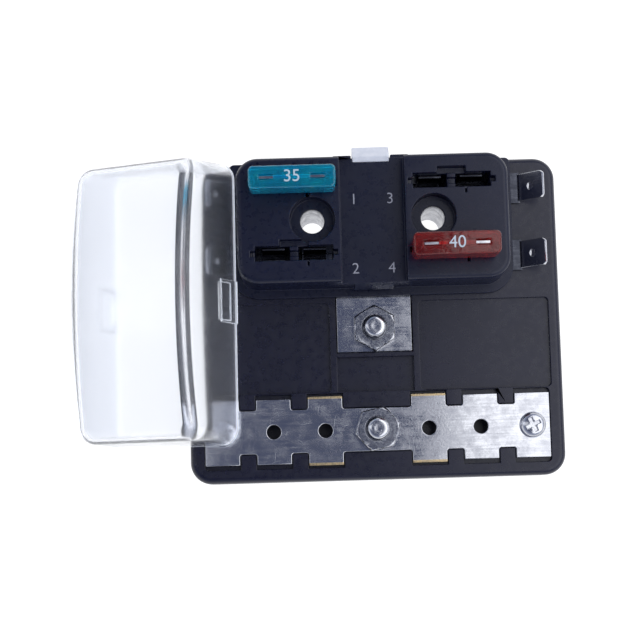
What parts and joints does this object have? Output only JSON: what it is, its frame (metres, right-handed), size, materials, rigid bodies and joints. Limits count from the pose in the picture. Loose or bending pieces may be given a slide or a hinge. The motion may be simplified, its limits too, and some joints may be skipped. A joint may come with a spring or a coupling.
{
  "type": "blade fuse block",
  "caption": "Blade fuse block with a negative bus bar: plug-in fuses in a raised block, stud inputs, side tab outputs, two mounting holes and a clear lift-off cover.",
  "frame": {"origin": "centre of the base's flat mounting face", "axes": "+X along the negative bus bar, +Y from the bus bar towards the fuses, +Z away from the mounting surface"},
  "size_m": [0.1137, 0.0764, 0.0338],
  "materials": {
    "moulded_black": "satin black moulded thermoplastic",
    "insulating_sheet": "matt black insulating sheet",
    "light_plastic": "undyed moulded nylon",
    "tinned_metal": "tinned brass, scratched",
    "terminal_metal": "tinned brass",
    "plated_steel": "bright plated steel",
    "fuse_teal": "translucent teal",
    "fuse_red": "translucent red",
    "clear_cover": "clear polycarbonate"
  },
  "bodies": {
    "housing": {"base": "moulded_black", "back_plate": "insulating_sheet", "back_screw_1": "plated_steel", "back_screw_2": "plated_steel", "back_screw_3": "plated_steel", "back_screw_4": "plated_steel", "fuse_block": "moulded_black", "block_screw_left": "plated_steel", "block_screw_right": "plated_steel", "mount_sleeve_left": "tinned_metal", "mount_sleeve_right": "tinned_metal", "rear_latch": "light_plastic", "positive_bus": "tinned_metal", "positive_stud": "plated_steel", "input_clip_1": "tinned_metal", "input_clip_2": "tinned_metal", "input_clip_3": "tinned_metal", "input_clip_4": "tinned_metal", "terminal_1": "terminal_metal", "terminal_2": "terminal_metal", "terminal_3": "terminal_metal", "terminal_4": "terminal_metal", "negative_bar": "tinned_metal", "negative_stud": "plated_steel", "bar_screw_left": "plated_steel", "bar_screw_right": "plated_steel"},
    "cover": {"cover": "clear_cover"},
    "fuse_1": {"fuse_35_body": "fuse_teal", "fuse_35_element": "tinned_metal"},
    "fuse_4": {"fuse_40_body": "fuse_red", "fuse_40_element": "tinned_metal"},
    "positive_nut": {"positive_nut": "plated_steel"},
    "negative_nut": {"negative_nut": "plated_steel"}
  },
  "joints": [
    {"name": "cover_lift", "type": "slide", "parent": "housing", "child": "cover", "axis": [0, 0, 1], "range_m": [0, 0.05]},
    {"name": "fuse_1_pull", "type": "slide", "parent": "housing", "child": "fuse_1", "axis": [0, 0, 1], "range_m": [0, 0.022]},
    {"name": "fuse_4_pull", "type": "slide", "parent": "housing", "child": "fuse_4", "axis": [0, 0, 1], "range_m": [0, 0.022]},
    {"name": "positive_nut_turn", "type": "hinge", "parent": "housing", "child": "positive_nut", "pos_m": [0, -0.0021, 0.0105], "axis": [0, 0, 1], "continuous": true},
    {"name": "negative_nut_turn", "type": "hinge", "parent": "housing", "child": "negative_nut", "pos_m": [0, -0.02555, 0.0113], "axis": [0, 0, 1], "continuous": true}
  ]
}
